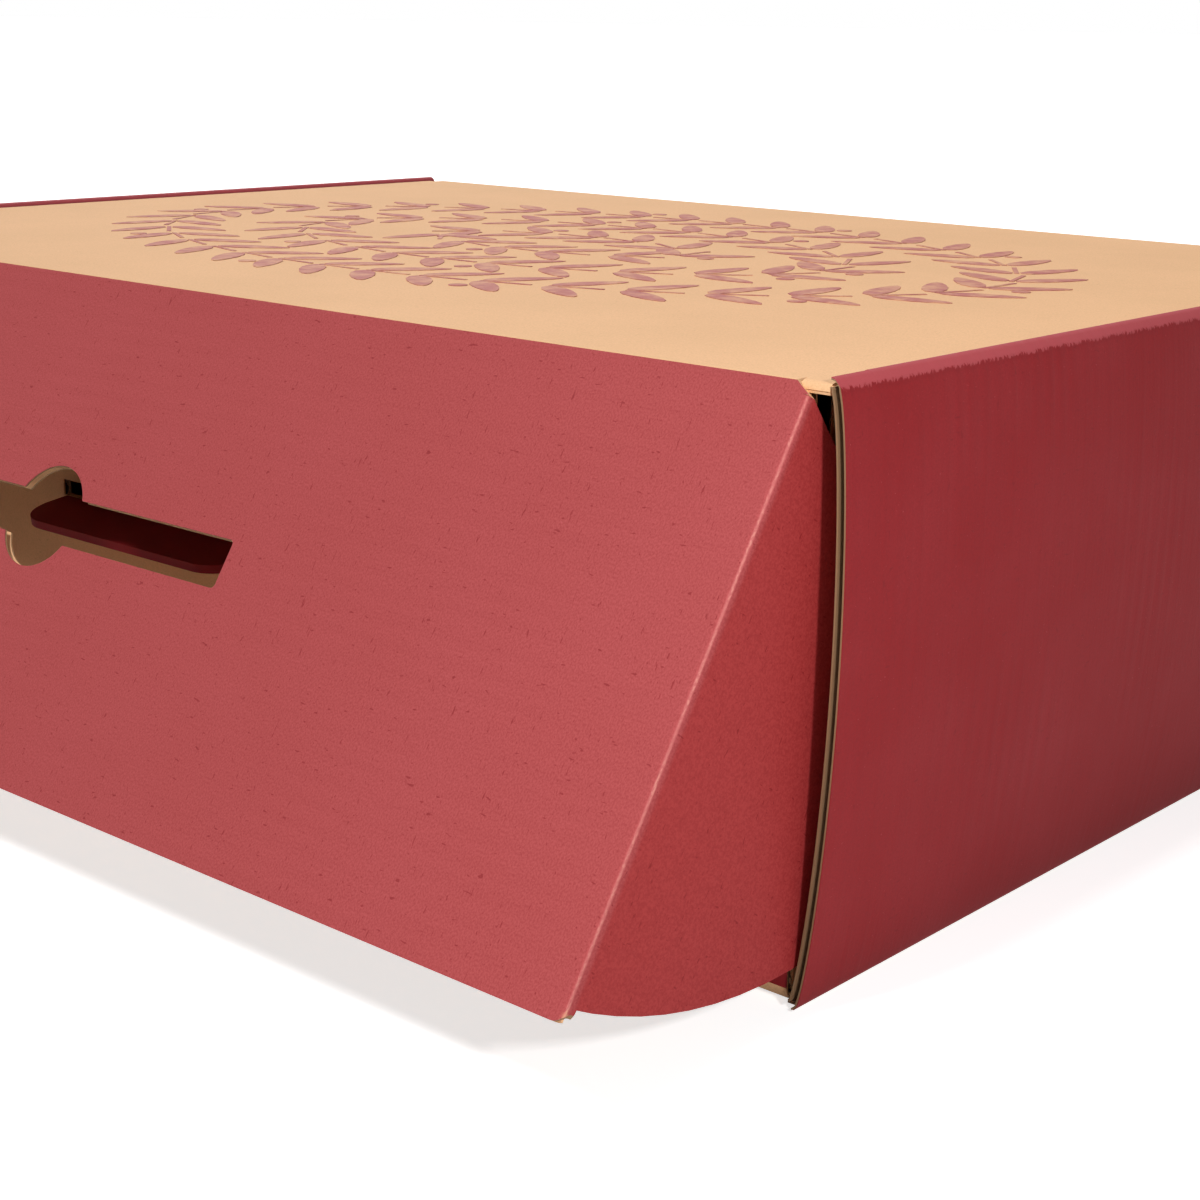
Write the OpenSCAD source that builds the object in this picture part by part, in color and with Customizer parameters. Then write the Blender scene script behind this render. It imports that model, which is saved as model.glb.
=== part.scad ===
// Folded corrugated mailer box with a slotted front flap, shown with the flap swung part way out.
// Origin at the middle of the base's underside, +Z up, the front faces -Y, +X to the right.

/* [Box] */
// Width between the feet of the side walls
box_w = 284; // [240:1:330]
// Depth from the flap's fold to the back wall
box_d = 210; // [170:1:260]
// Height from the base to the lid's top face
box_h = 90; // [84:1:98]

/* [Board] */
// Thickness of the corrugated board
board = 1.6; // [1.4:0.05:1.7]
// Thickness of the printed layer of the board
print_t = 0.12; // [0.08:0.01:0.2]
// Outer radius of a plain fold
fold_r = 2.4; // [2:0.1:3]
// Gap between board faces that pass each other
play = 0.3; // [0.2:0.05:0.35]

/* [Side walls] */
// How far the top of a side wall leans out
wall_lean = 3.2; // [2.8:0.1:4]
// How far a side wall bows out between its folds
wall_bow = 3.8; // [3.5:0.1:4.8]
// Height of the rolled crest above the lid
crest_h = 0.9; // [0.6:0.1:1.4]
// Space inside the tight roll of the crest
crest_gap = 0.2; // [0.1:0.05:0.4]
// Length at the front where the roll is cut back for the ear
roll_setback = 9; // [8:0.5:14]
// Gap between a side wall's rear edge and the back of the box
side_back_gap = 3; // [2.4:0.1:5]
// Length of a locking tab of the inner side wall
tab_len = 40; // [25:1:50]
// Distance of a locking tab's middle from the middle of the side
tab_pitch = 52; // [40:1:60]

/* [Dust flaps] */
// Length of a dust flap along the side wall
dust_len = 55; // [35:1:70]
// Height of a dust flap's top edge
dust_top = 54; // [40:1:60]
// Size of the cut corner of a dust flap
dust_cut = 14; // [6:1:20]

/* [Front flap] */
// Angle of the flap out from its closed place
flap_open = 32.5; // [20:0.5:40]
// Height of the closed flap's lower edge above the base
flap_floor_gap = 1.4; // [1:0.1:4]
// Distance of the flap's fold end from the side wall's foot
fold_end = 3.3; // [2.4:0.1:6]
// Depth of the small cut corner beside the fold end
fold_cut = 1.9; // [1.4:0.1:2.6]
// Distance of an ear's outer face from the side wall's foot
ear_inset = 0.5; // [0.4:0.05:0.7]
// Length of an ear back from its crease
ear_depth = 62; // [40:1:68]
// Height of the step between the flap's edge and an ear's edge
ear_step = 2.1; // [1.6:0.1:5]
// Radius of the rounded lower corner of the flap
flap_corner = 2.2; // [2:0.1:4]
// Gap at the mitred seam of the flap's fold
seam = 0.12; // [0.08:0.01:0.2]

/* [Slot] */
// Length of the slot in the flap
slot_len = 95.8; // [80:0.1:120]
// Height of the slot
slot_h = 8.2; // [7.6:0.1:11]
// Distance of the slot's middle line below the fold
slot_drop = 44; // [40:0.5:48]
// Diameter of the round opening in the middle of the slot
hole_d = 18.4; // [14:0.2:24]

/* [Closing tongue] */
// Width of the tongue on the front wall
tongue_w = 60; // [40:1:72]
// How far the tongue stands out from the front wall
tongue_len = 12; // [8:0.5:13]
// Radius of the tongue's corners
tongue_r = 8; // [4:0.5:8]
// Height of the slit that the tongue comes out of
slit_h = 3; // [2:0.1:3.6]

/* [Print] */
// Width of the printed end strips of the front wall
bleed_w = 24; // [12:1:40]
// Length of a printed leaf on the lid
leaf_len = 15; // [10:0.5:18]
// Width of a printed leaf on the lid
leaf_w = 4.6; // [3:0.1:6]
// Diameter of a printed berry on the lid
berry_d = 3.4; // [2.4:0.1:4.4]
// Distance between two leaf pairs along a printed garland
leaf_step = 13; // [11:0.5:16]
// Leaf pairs from one berry of a garland to the next
leaf_pairs = 4; // [2:1:5]

/* [Hidden] */
kraft = "#e3b981";
burgundy = "#a33d43";

front_y = -box_d / 2;
back_y = box_d / 2;
foot_x = box_w / 2;

// Faces that pass each other at the right side, as distances from the side wall's foot
ear_out = -ear_inset;
dust_out = ear_out - board - play;
core_w = box_w + 2 * dust_out;
wall_y = front_y + board + play;
wall_top = box_h - board - play;
strip_top = box_h - board - play;
inner_slope = (board + play) / (strip_top - dust_top);

// Crest of the rolled side wall
crest_r = board + crest_gap / 2;
crest_z = box_h + crest_h - crest_r;
bow_power = 0.55;
function wall_x(z) = wall_lean * z / box_h + wall_bow * pow(sin(180 * z / box_h), bow_power);
crest_x = wall_x(crest_z) - crest_r;
leg_x = crest_x - crest_r;
crest_open_angle = 95;
shoulder_x = dust_out - board;
function inner_x(z) = shoulder_x - inner_slope * (strip_top - z);
corner_x = wall_x(crest_z) - board - play;
base_strip = 20;

// Flap, measured down from its fold and back from its crease
flap_len = box_h - flap_floor_gap;
flap_x = foot_x + ear_out;
fold_x = foot_x - fold_end;
ear_centre = [-6.5, -2.3];
ear_r = norm([0, flap_len - ear_step] - ear_centre);
ear_round = 11;
ear_round_angle = 55;
ear_top = [[0, 1.9], [1.4, 1.9], [4.8, 3.2], [7.7, 4.3], [12, 5.6]];
ear_top_slope = 0.2;

// Closing tongue
tongue_rise = 1.7;
tongue_dip = 5;
tongue_top = box_h - slot_drop + tongue_rise;
slit_side = 1;

// Helpers for a strip of board that follows a line
function unit(v) = v / norm(v);
function turned(v) = [-v[1], v[0]];
function slice(v, a, b) = [for (i = [a:b]) v[i]];
function reversed(v) = [for (i = [len(v) - 1:-1:0]) v[i]];
function arc(c, r, a0, a1, n) = [for (i = [0:n]) let (a = a0 + (a1 - a0) * i / n) c + r * [cos(a), sin(a)]];
function step_at(p, i) = unit(p[i + 1] - p[i]);
function normal_at(p, i) =
    let (before = step_at(p, max(i - 1, 0)),
        after = step_at(p, min(i, len(p) - 2)),
        middle = unit(turned(before) + turned(after)))
    middle / (middle * turned(after));
function shifted(p, d) = [for (i = [0:len(p) - 1]) p[i] + d * normal_at(p, i)];
function printed_strip(p, a, b) =
    let (inked = shifted(p, print_t),
        bare = b < len(p) - 1 ? slice(p, b, len(p) - 1) : [])
    concat(slice(p, 0, a), slice(inked, a, b), bare, reversed(shifted(p, board)));
function ink_strip(p, a, b) = concat(slice(p, a, b), reversed(slice(shifted(p, print_t), a, b)));

module along_x(x0, x1) {
    translate([x0, 0, 0]) rotate([90, 0, 90]) linear_extrude(x1 - x0) children();
}

module along_y(y0, y1) {
    translate([0, y1, 0]) rotate([90, 0, 0]) linear_extrude(y1 - y0) children();
}

module both_sides() {
    children();
    mirror([1, 0, 0]) children();
}

// Front wall, base, back wall and lid as one line in the YZ plane
fold_steps = 5;
core_line = concat(
    [[wall_y, wall_top]],
    arc([wall_y + fold_r, fold_r], fold_r, 180, 270, fold_steps),
    arc([back_y - fold_r, fold_r], fold_r, 270, 360, fold_steps),
    arc([back_y - fold_r, box_h - fold_r], fold_r, 0, 90, fold_steps));
back_first = 2 * fold_steps + 2;
back_last = back_first + 1;

// Lid seen from above, right half first: wide front corner, side edge, notch at the rear fold
back_notch = fold_r + side_back_gap;
lid_half = [
    [foot_x + corner_x, front_y + play],
    [foot_x + corner_x, front_y + roll_setback - play],
    [foot_x + leg_x - play, front_y + roll_setback - play],
    [foot_x + leg_x - play, back_y - back_notch],
    [core_w / 2, back_y - back_notch],
    [core_w / 2, back_y - fold_r]];
lid_outline = concat(lid_half, reversed([for (p = lid_half) [-p[0], p[1]]]));

// Side wall as a line in the XZ plane: base, bowed outer panel, crest, strip and inner panel
bow_steps = 14;
open_steps = 6;
side_line = concat(
    [[-base_strip, 0], [0, 0]],
    [for (i = [1:bow_steps]) let (z = crest_z * (1 - cos(180 * i / bow_steps)) / 2) [wall_x(z), z]],
    slice(arc([crest_x, crest_z], crest_r, 0, crest_open_angle, open_steps), 1, open_steps),
    slice(arc([crest_x, crest_z], crest_r, crest_open_angle, 180, open_steps), 1, open_steps),
    [[leg_x, strip_top], [shoulder_x, strip_top], [inner_x(board + play), board + play]]);
ink_first = 2;
crest_open_last = 1 + bow_steps + open_steps;
ink_last = crest_open_last + open_steps + 1;

module side_wall() {
    translate([foot_x, 0, 0]) {
        difference() {
            along_y(front_y + play, front_y + roll_setback)
                polygon(printed_strip(slice(side_line, 0, crest_open_last), ink_first, crest_open_last));
            translate([-2 * base_strip, front_y - play, -board])
                cube([2 * base_strip - board, wall_y - front_y + play, 3 * board]);
        }
        along_y(front_y + roll_setback, back_y - side_back_gap)
            polygon(printed_strip(side_line, ink_first, ink_last));
    }
}

module tab_places() {
    for (side = [-1, 1]) translate([foot_x, side * tab_pitch, 0]) children();
}

module tab_slots() {
    slot_from = inner_x(0) - play;
    slot_to = inner_x(board) + board + play;
    tab_places()
        translate([slot_from, -tab_len / 2 - play, -board])
            cube([slot_to - slot_from, tab_len + 2 * play, 3 * board]);
}

module tabs() {
    tab_places()
        along_y(-tab_len / 2, tab_len / 2)
            polygon([[inner_x(2 * board), 2 * board], [inner_x(0), 0],
                [inner_x(0) + board, 0], [inner_x(2 * board) + board, 2 * board]]);
}

// Dust flap outline: distance back from its fold, and height
module dust_flap() {
    base_z = fold_r + play;
    translate([foot_x + dust_out - board, 0, 0])
        along_x(0, board)
            polygon([[0, base_z], [dust_len - dust_cut, base_z], [dust_len, base_z + dust_cut],
                [dust_len, dust_top - dust_cut], [dust_len - dust_cut, dust_top], [0, dust_top]]);
}

module tongue_outline(grow) {
    half = tongue_w / 2 + grow;
    polygon(concat(
        [[-half, board], [-half, 0]],
        arc([-half + tongue_r, tongue_r - tongue_len - grow], tongue_r, 180, 270, 6),
        arc([half - tongue_r, tongue_r - tongue_len - grow], tongue_r, 270, 360, 6),
        [[half, 0], [half, board]]));
}

module at_tongue() {
    translate([0, wall_y, tongue_top]) rotate([tongue_dip, 0, 0]) children();
}

// The folded sheet without its front flap
module tray_and_lid() {
    color(kraft) {
        difference() {
            union() {
                along_x(-core_w / 2, core_w / 2) polygon(printed_strip(core_line, back_first, back_last));
                translate([0, 0, box_h - board]) linear_extrude(board) polygon(lid_outline);
                both_sides() {
                    side_wall();
                    translate([0, wall_y, 0]) dust_flap();
                    translate([0, back_y - print_t, 0]) mirror([0, 1, 0]) dust_flap();
                }
            }
            both_sides() {
                tab_slots();
                bleed_pocket();
            }
            fold_seam();
            tongue_slit();
        }
        both_sides() tabs();
        difference() {
            at_tongue() translate([0, 0, -board]) linear_extrude(board - print_t) tongue_outline(0);
            translate([-tongue_w, wall_y + board, 0]) cube([2 * tongue_w, board, box_h]);
        }
    }
}

// Mitred end of the lid along the flap's fold and above the flap's corners
module fold_seam() {
    reach = board + play;
    along_x(-flap_x - play, flap_x + play)
        polygon([[front_y + seam - play, box_h + play], [front_y + seam + reach, box_h - reach],
            [front_y - play, box_h - reach], [front_y - play, box_h + play]]);
}

module tongue_slit() {
    translate([-tongue_w / 2 - slit_side, wall_y - board, tongue_top - print_t])
        cube([tongue_w + 2 * slit_side, 3 * board, slit_h + print_t]);
}

module bleed_pocket() {
    translate([core_w / 2 - bleed_w, wall_y - board, fold_r])
        cube([bleed_w, board + print_t, wall_top - fold_r + play / 2]);
}

module front_wall_print() {
    color(burgundy) {
        both_sides()
            translate([core_w / 2 - bleed_w, wall_y, fold_r])
                cube([bleed_w, print_t, wall_top - fold_r]);
        difference() {
            at_tongue() translate([0, 0, -print_t]) linear_extrude(print_t) tongue_outline(0);
            translate([-tongue_w, wall_y, 0]) cube([2 * tongue_w, box_d, box_h]);
        }
    }
}

module side_print() {
    color(burgundy)
        translate([foot_x, 0, 0]) {
            along_y(front_y + play, front_y + roll_setback)
                polygon(ink_strip(slice(side_line, 0, crest_open_last), ink_first, crest_open_last));
            along_y(front_y + roll_setback, back_y - side_back_gap)
                polygon(ink_strip(side_line, ink_first, ink_last));
        }
}

module side_print_right() {
    side_print();
}

module side_print_left() {
    mirror([1, 0, 0]) side_print();
}

module back_print() {
    color(burgundy) along_x(-core_w / 2, core_w / 2) polygon(ink_strip(core_line, back_first, back_last));
}

// Outline of the flap's face, x across and y down from the fold
flap_outline = concat(
    [[-fold_x, 0], [fold_x, 0], [flap_x, -fold_cut]],
    arc([flap_x - flap_corner, flap_corner - flap_len], flap_corner, 0, -90, 6),
    arc([flap_corner - flap_x, flap_corner - flap_len], flap_corner, -90, -180, 6),
    [[-flap_x, -fold_cut]]);

// Outline of an ear, x back from the crease and y down from the fold
function ear_low(u) = ear_centre[1] + sqrt(ear_r * ear_r - pow(u - ear_centre[0], 2));
function ear_high(u) = ear_top[4][1] + ear_top_slope * (u - ear_top[4][0]);
ear_back_low = ear_low(ear_depth - ear_round) - ear_round;
ear_outline = concat(
    [for (p = ear_top) [p[0], -p[1]]],
    arc([ear_depth - ear_round / 2, -ear_high(ear_depth) - ear_round / 2], ear_round / 2, 90, 0, 4),
    arc([ear_depth - ear_round, -ear_back_low], ear_round, 0, -ear_round_angle, 6),
    [for (i = [1:10]) let (u = (ear_depth - ear_round) * (1 - i / 10)) [u, -ear_low(u)]]);

module at_flap() {
    translate([0, front_y, box_h]) rotate([-flap_open, 0, 0]) children();
}

module flap_face(y0, y1) {
    difference() {
        along_y(y0, y1) polygon(flap_outline);
        along_y(y0 - board, y1 + board) {
            translate([0, -slot_drop]) square([slot_len, slot_h], center = true);
            translate([0, -slot_drop]) circle(d = hole_d, $fn = 48);
        }
        along_x(-box_w, box_w)
            polygon([[-board, board - seam], [2 * board, -2 * board - seam], [2 * board, 2 * board],
                [-board, 2 * board]]);
    }
}

module ears(x0, x1) {
    both_sides() along_x(x0, x1) polygon(ear_outline);
}

// Flap and its two ears, folded back at their creases
module front_flap() {
    color(kraft)
        at_flap() {
            difference() {
                flap_face(print_t, board);
                ears(flap_x - print_t, flap_x + play);
            }
            difference() {
                ears(flap_x - board, flap_x - print_t);
                along_y(-board, print_t) square([3 * flap_x, 3 * flap_len], center = true);
            }
        }
}

module flap_print() {
    color(burgundy)
        at_flap() {
            flap_face(0, print_t);
            difference() {
                ears(flap_x - print_t, flap_x);
                along_y(-board, print_t) square([3 * flap_x, 3 * flap_len], center = true);
            }
        }
}

// Printed garlands on the lid
module leaf() {
    polygon([for (i = [0:11]) let (t = i / 12 * 360)
        [leaf_len / 2 * (1 - cos(t)), leaf_w / 2 * sin(t) * (1 + 0.25 * cos(t))]]);
}

// One pair of leaves on its piece of stem
module leaf_pair() {
    stem_w = 0.9;
    translate([0, -stem_w / 2]) square([leaf_step * 0.8, stem_w]);
    for (side = [-1, 1]) translate([0, side * stem_w]) rotate(side * 48) leaf();
}

// Leaf pairs an even step apart round an oval, with a berry outside every few pairs
module garland(across, along) {
    pairs = floor(PI * (across + along) / leaf_step);
    swell = 90 / PI * (across - along) / (across + along);
    for (i = [0:pairs - 1])
        let (even = 360 * i / pairs,
            a = even + swell * sin(2 * even),
            heading = atan2(along * cos(a), -across * sin(a)))
        translate([across * cos(a), along * sin(a)]) rotate(heading) {
            leaf_pair();
            if (i % leaf_pairs == 0) translate([0, -leaf_len / 2]) circle(d = berry_d, $fn = 16);
        }
}

// Half sizes of the garlands, as shares of the box's width and depth
garlands = [[0.36, 0.3], [0.235, 0.185], [0.11, 0.07]];

module lid_print() {
    color(burgundy)
        translate([0, 0, box_h])
            linear_extrude(print_t)
                for (ring = garlands) garland(ring[0] * box_w, ring[1] * box_d);
}

tray_and_lid();
front_flap();
flap_print();
side_print_right();
side_print_left();
back_print();
front_wall_print();
lid_print();
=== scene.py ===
import math

import bpy
from mathutils import Matrix, Vector
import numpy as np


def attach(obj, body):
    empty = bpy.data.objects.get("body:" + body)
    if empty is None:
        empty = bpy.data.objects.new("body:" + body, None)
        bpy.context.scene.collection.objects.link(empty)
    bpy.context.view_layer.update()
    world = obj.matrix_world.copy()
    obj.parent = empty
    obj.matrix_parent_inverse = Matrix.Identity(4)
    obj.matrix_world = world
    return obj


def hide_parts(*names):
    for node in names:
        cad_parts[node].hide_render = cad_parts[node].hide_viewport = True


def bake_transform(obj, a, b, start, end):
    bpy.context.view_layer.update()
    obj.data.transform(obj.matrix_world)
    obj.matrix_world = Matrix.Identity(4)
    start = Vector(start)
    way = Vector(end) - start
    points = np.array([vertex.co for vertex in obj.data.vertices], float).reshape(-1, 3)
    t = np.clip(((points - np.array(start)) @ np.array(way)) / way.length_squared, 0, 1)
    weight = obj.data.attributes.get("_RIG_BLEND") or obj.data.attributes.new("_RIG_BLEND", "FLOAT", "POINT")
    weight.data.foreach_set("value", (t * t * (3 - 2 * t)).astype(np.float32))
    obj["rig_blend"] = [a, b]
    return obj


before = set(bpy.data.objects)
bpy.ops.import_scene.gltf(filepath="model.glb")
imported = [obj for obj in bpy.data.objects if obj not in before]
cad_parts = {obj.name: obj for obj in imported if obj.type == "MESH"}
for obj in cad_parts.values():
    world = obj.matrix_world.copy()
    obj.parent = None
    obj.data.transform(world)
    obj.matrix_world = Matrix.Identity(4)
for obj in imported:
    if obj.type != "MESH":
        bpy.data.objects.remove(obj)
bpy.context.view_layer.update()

# Sizes of the folded box in millimetres, as in the part's source
MM = 0.001
FOOT = 142.0
FRONT = -105.0
BACK = 105.0
TOP = 90.0
BOARD = 1.6
PLAY = 0.3
PRINT = 0.12
CORE = 139.6
WALL_Y = -103.1
FOLD_R = 2.4
STRIP_TOP = TOP - BOARD - PLAY
DUST_LOW = 2.7
DUST_TOP = 54.0
DUST_LEN = 55.0
DUST_CUT = 14.0
SETBACK = 9.0
OPEN = math.radians(32.5)
FLAP_X = 141.5
FOLD_X = 138.7
FLAP_LEN = 88.6
FLAP_CORNER = 2.2
FOLD_CUT = 1.9
SLOT_DROP = 44.0
SLOT_END = 47.9
SLOT_HALF = 4.1
SLOT_CORNER = 0.8
THUMB_R = 9.2
TAB_PLACES = (-52.0, 52.0)
TAB_HALF = 20.0
TONGUE_TOP = 47.7
TONGUE_HALF = 30
TONGUE_R = 8
TONGUE_STRAIGHT = 4
TONGUE_DIP = math.radians(8)
BLEED = 24.0

# Layers of the corrugated board, as depths from its outer face
BARE_OUTER = (0.02, 0.32)
INKED_OUTER = (PRINT, 0.4)
INK = (0.0, PRINT)
INNER = (1.32, BOARD)
FLUTE_PITCH = 3.5
FLUTE_MID = 0.86
FLUTE_SWING = 0.34
FLUTE_PAPER = 0.17
FLUTE_STEPS = 8

# The side walls hold wavy paper only near their ends, from this recess to this depth
EDGE_RECESS = 1.3
EDGE_DEPTH = 11

# How brown a cut edge and the slot's lit floor are, where 1 is the bare inside of the board; a cut edge's
# brown is partly its own colour and partly painted shade
CUT_BROWN_AND_SHADE = 0.85
# The slot's floor is painted less brown than other cut edges: a painted highlight where it faces up into the
# light
SLOT_BROWN_PAINTED_LIGHT = 0.4


# Lines of points in a plane

def arc(cx, cy, radius, start, end, steps):
    return [
        (cx + radius * math.cos(math.radians(start + (end - start) * i / steps)),
         cy + radius * math.sin(math.radians(start + (end - start) * i / steps)))
        for i in range(steps + 1)
    ]


def curve(a, b, c, steps):
    """Points of a soft corner from a to c, drawn towards b."""
    a, b, c = Vector(a), Vector(b), Vector(c)
    made = []
    for i in range(steps + 1):
        t = i / steps
        made.append(tuple(a * (1 - t) ** 2 + b * 2 * t * (1 - t) + c * t ** 2))
    return made


def sideways(line):
    """For each point of a line, the step to its left that keeps a board's thickness even."""
    left = []
    for i in range(len(line)):
        last = max(i - 1, 0)
        first = min(i, len(line) - 2)
        before = Vector(line[last + 1]) - Vector(line[last])
        after = Vector(line[first + 1]) - Vector(line[first])
        before = Vector((-before.y, before.x)).normalized()
        after = Vector((-after.y, after.x)).normalized()
        middle = (before + after).normalized()
        left.append(middle / middle.dot(after))
    return left


def offset(line, depth):
    return [tuple(Vector(p) + depth * n) for p, n in zip(line, sideways(line))]


def resampled(line, step):
    """The line again, with points a small even step apart."""
    made = []
    for a, b in zip(line, line[1:]):
        a, b = Vector(a), Vector(b)
        parts = max(1, round((b - a).length / step))
        made += [tuple(a.lerp(b, i / parts)) for i in range(parts)]
    return made + [line[-1]]


# Making and joining pieces

def only(*pieces):
    """Selects these pieces and nothing else, the first one active."""
    bpy.ops.object.select_all(action="DESELECT")
    for piece in pieces:
        piece.select_set(True)
    bpy.context.view_layer.objects.active = pieces[0]


def turn_outwards(piece):
    """Makes all faces of a closed piece point outwards."""
    only(piece)
    bpy.ops.object.mode_set(mode="EDIT")
    bpy.ops.mesh.select_all(action="SELECT")
    bpy.ops.mesh.normals_make_consistent(inside=False)
    bpy.ops.object.mode_set(mode="OBJECT")


def modify(piece, kind, **settings):
    """Adds a modifier with its settings and applies it."""
    modifier = piece.modifiers.new(kind, kind)
    for name, value in settings.items():
        setattr(modifier, name, value)
    only(piece)
    bpy.ops.object.modifier_apply(modifier=modifier.name)


def mark_raw(piece, is_raw, strength):
    """Notes on a sheet's faces how much they show the brown inside of the board, which is partly painted
    shade.
    """
    known = piece.data.attributes
    raw = known.get("raw") or known.new("raw", "FLOAT", "FACE")
    for face, mark in zip(piece.data.polygons, raw.data):
        if is_raw(face.center, face.normal):
            mark.value = max(mark.value, strength)


# Where a section's two numbers and the distance along an axis go
PLACED = {
    "x": lambda a, b, along: (along, a, b),
    "y": lambda a, b, along: (a, along, b),
    "z": lambda a, b, along: (a, b, along),
}


def bar(name, section, axis, ends):
    """A closed bar: a flat section, pushed along an axis from one end to the other."""
    near, far = ends
    bpy.ops.object.select_all(action="DESELECT")
    bpy.ops.mesh.primitive_circle_add(vertices=len(section), fill_type="NGON")
    piece = bpy.context.object
    piece.name = piece.data.name = name
    for corner, (a, b) in zip(piece.data.vertices, section):
        corner.co = PLACED[axis](a, b, near)
    bpy.ops.object.mode_set(mode="EDIT")
    bpy.ops.mesh.select_all(action="SELECT")
    bpy.ops.mesh.extrude_region_move(
        TRANSFORM_OT_translate={"value": PLACED[axis](0, 0, far - near)})
    bpy.ops.object.mode_set(mode="OBJECT")
    turn_outwards(piece)
    return piece


def layer(name, line, depths, axis, ends):
    """One paper layer of a board that follows a line."""
    outer, inner = offset(line, depths[0]), offset(line, depths[1])
    return bar(name, outer + inner[::-1], axis, ends)


def grid(name, across, along, place):
    """A sheet of points, each placed by its two numbers, and given the paper's thickness."""
    bpy.ops.object.select_all(action="DESELECT")
    bpy.ops.mesh.primitive_grid_add(x_subdivisions=across, y_subdivisions=along, size=1)
    piece = bpy.context.object
    piece.name = piece.data.name = name
    for point in piece.data.vertices:
        i = round((point.co.x + 0.5) * across)
        j = round((point.co.y + 0.5) * along)
        point.co = place(i, j)
    modify(piece, "SOLIDIFY", thickness=FLUTE_PAPER, offset=0, use_even_offset=True)
    turn_outwards(piece)
    # The wavy paper is painted fully brown: partly its own colour, partly painted shade deep between the
    # liners
    mark_raw(piece, lambda centre, normal: True, 1.0)
    return piece


def flute(distance):
    """Depth of the wavy inner paper at a distance across the flutes."""
    return FLUTE_MID + FLUTE_SWING * math.sin(2 * math.pi * distance / FLUTE_PITCH)


def flutes_across(name, line, axis, near, far):
    """Wavy paper whose flutes run along the axis, so that it waves along the line."""
    fine = resampled(line, FLUTE_PITCH / FLUTE_STEPS)
    left = sideways(fine)
    gone, middle = 0.0, []
    for i, point in enumerate(fine):
        if i:
            gone += (Vector(point) - Vector(fine[i - 1])).length
        middle.append(Vector(point) + flute(gone) * left[i])
    return grid(name, 1, len(fine) - 1,
                lambda i, j: PLACED[axis](middle[j].x, middle[j].y, (near, far)[i]))


def flutes_down(name, line, axis, near, far):
    """Wavy paper whose flutes run down the line, so that it waves along the axis."""
    left = sideways(line)
    steps = round((far - near) / FLUTE_PITCH * FLUTE_STEPS)

    def place(i, j):
        along = near + (far - near) * j / steps
        point = Vector(line[i]) + flute(along) * left[i]
        return PLACED[axis](point.x, point.y, along)

    return grid(name, len(line) - 1, steps, place)


def cut(piece, *tools, operation="DIFFERENCE"):
    """Takes tools out of a piece one by one, or intersects or unites it with them."""
    for tool in tools:
        modify(piece, "BOOLEAN", object=tool, operation=operation, solver="EXACT")


def discard(*pieces):
    for piece in pieces:
        bpy.data.objects.remove(piece)


def joined(name, *pieces):
    only(*pieces)
    bpy.ops.object.join()
    pieces[0].name = pieces[0].data.name = name
    return pieces[0]


def other_side(piece, name):
    """The same piece at the other side of the box."""
    only(piece)
    bpy.ops.object.duplicate()
    twin = bpy.context.object
    twin.name = twin.data.name = name
    twin.data.transform(Matrix.Scale(-1, 4, (1, 0, 0)))
    turn_outwards(twin)
    return twin


def finish_piece(piece, finish, body, slot, *nodes, place=None, angle=40, cut_edge=None):
    """Brings a piece made in millimetres to its size and place, gives it its finish and body, and hides the
    CAD nodes it stands for.
    """
    if cut_edge:
        mark_raw(piece, cut_edge, CUT_BROWN_AND_SHADE)
    if place:
        piece.data.transform(place)
    piece.data.transform(Matrix.Scale(MM, 4))
    piece.data.materials.clear()
    piece.data.materials.append(finish)
    only(piece)
    bpy.ops.object.shade_smooth_by_angle(angle=math.radians(angle))
    if body:
        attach(piece, body)
    if nodes:
        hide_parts(*nodes)


# Node helpers

def add(tree, kind, settings=None, **sockets):
    """A new node with inputs set or linked by name, or by number as n0, n1 and so on."""
    node = tree.nodes.new(kind)
    for name, value in (settings or {}).items():
        setattr(node, name, value)
    for name, value in sockets.items():
        key = int(name[1:]) if name[0] == "n" and name[1:].isdigit() else name.replace("_", " ")
        target = node.inputs[key]
        if isinstance(value, bpy.types.NodeSocket):
            tree.links.new(value, target)
        else:
            target.default_value = value
    return node


def math_node(tree, operation, *values):
    node = add(tree, "ShaderNodeMath", {"operation": operation},
               **{f"n{i}": v for i, v in enumerate(values)})
    return node.outputs[0]


def ramped(tree, value, low, high, out_low=0.0, out_high=1.0):
    """The value spread softly from one number to another between low and high."""
    node = add(tree, "ShaderNodeMapRange", {"interpolation_type": "SMOOTHSTEP"},
               Value=value, From_Min=low, From_Max=high, To_Min=out_low, To_Max=out_high)
    return node.outputs[0]


def noise(tree, position, scale, stretch=(1, 1, 1), turn=(0, 0, 0), detail=2.0):
    """Even noise with so many spots to a metre."""
    spread = add(tree, "ShaderNodeMapping", n0=position, Rotation=turn, Scale=stretch)
    return add(tree, "ShaderNodeTexNoise", Vector=spread.outputs[0], Scale=scale,
               Detail=detail, Roughness=0.55).outputs[0]


def tinted(tree, amount, a, b, blend="MIX"):
    """Colour a with colour b laid over it by the amount."""
    node = add(tree, "ShaderNodeMix", {"data_type": "RGBA", "blend_type": blend},
               n0=amount, n6=a, n7=b)
    return node.outputs[2]


def new_group(name, inputs, outputs):
    tree = bpy.data.node_groups.new(name, "ShaderNodeTree")
    for label, kind in inputs:
        tree.interface.new_socket(label, in_out="INPUT", socket_type=kind)
    for label in outputs:
        tree.interface.new_socket(label, in_out="OUTPUT", socket_type="NodeSocketFloat")
    return tree, tree.nodes.new("NodeGroupInput").outputs, tree.nodes.new("NodeGroupOutput").inputs


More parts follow.
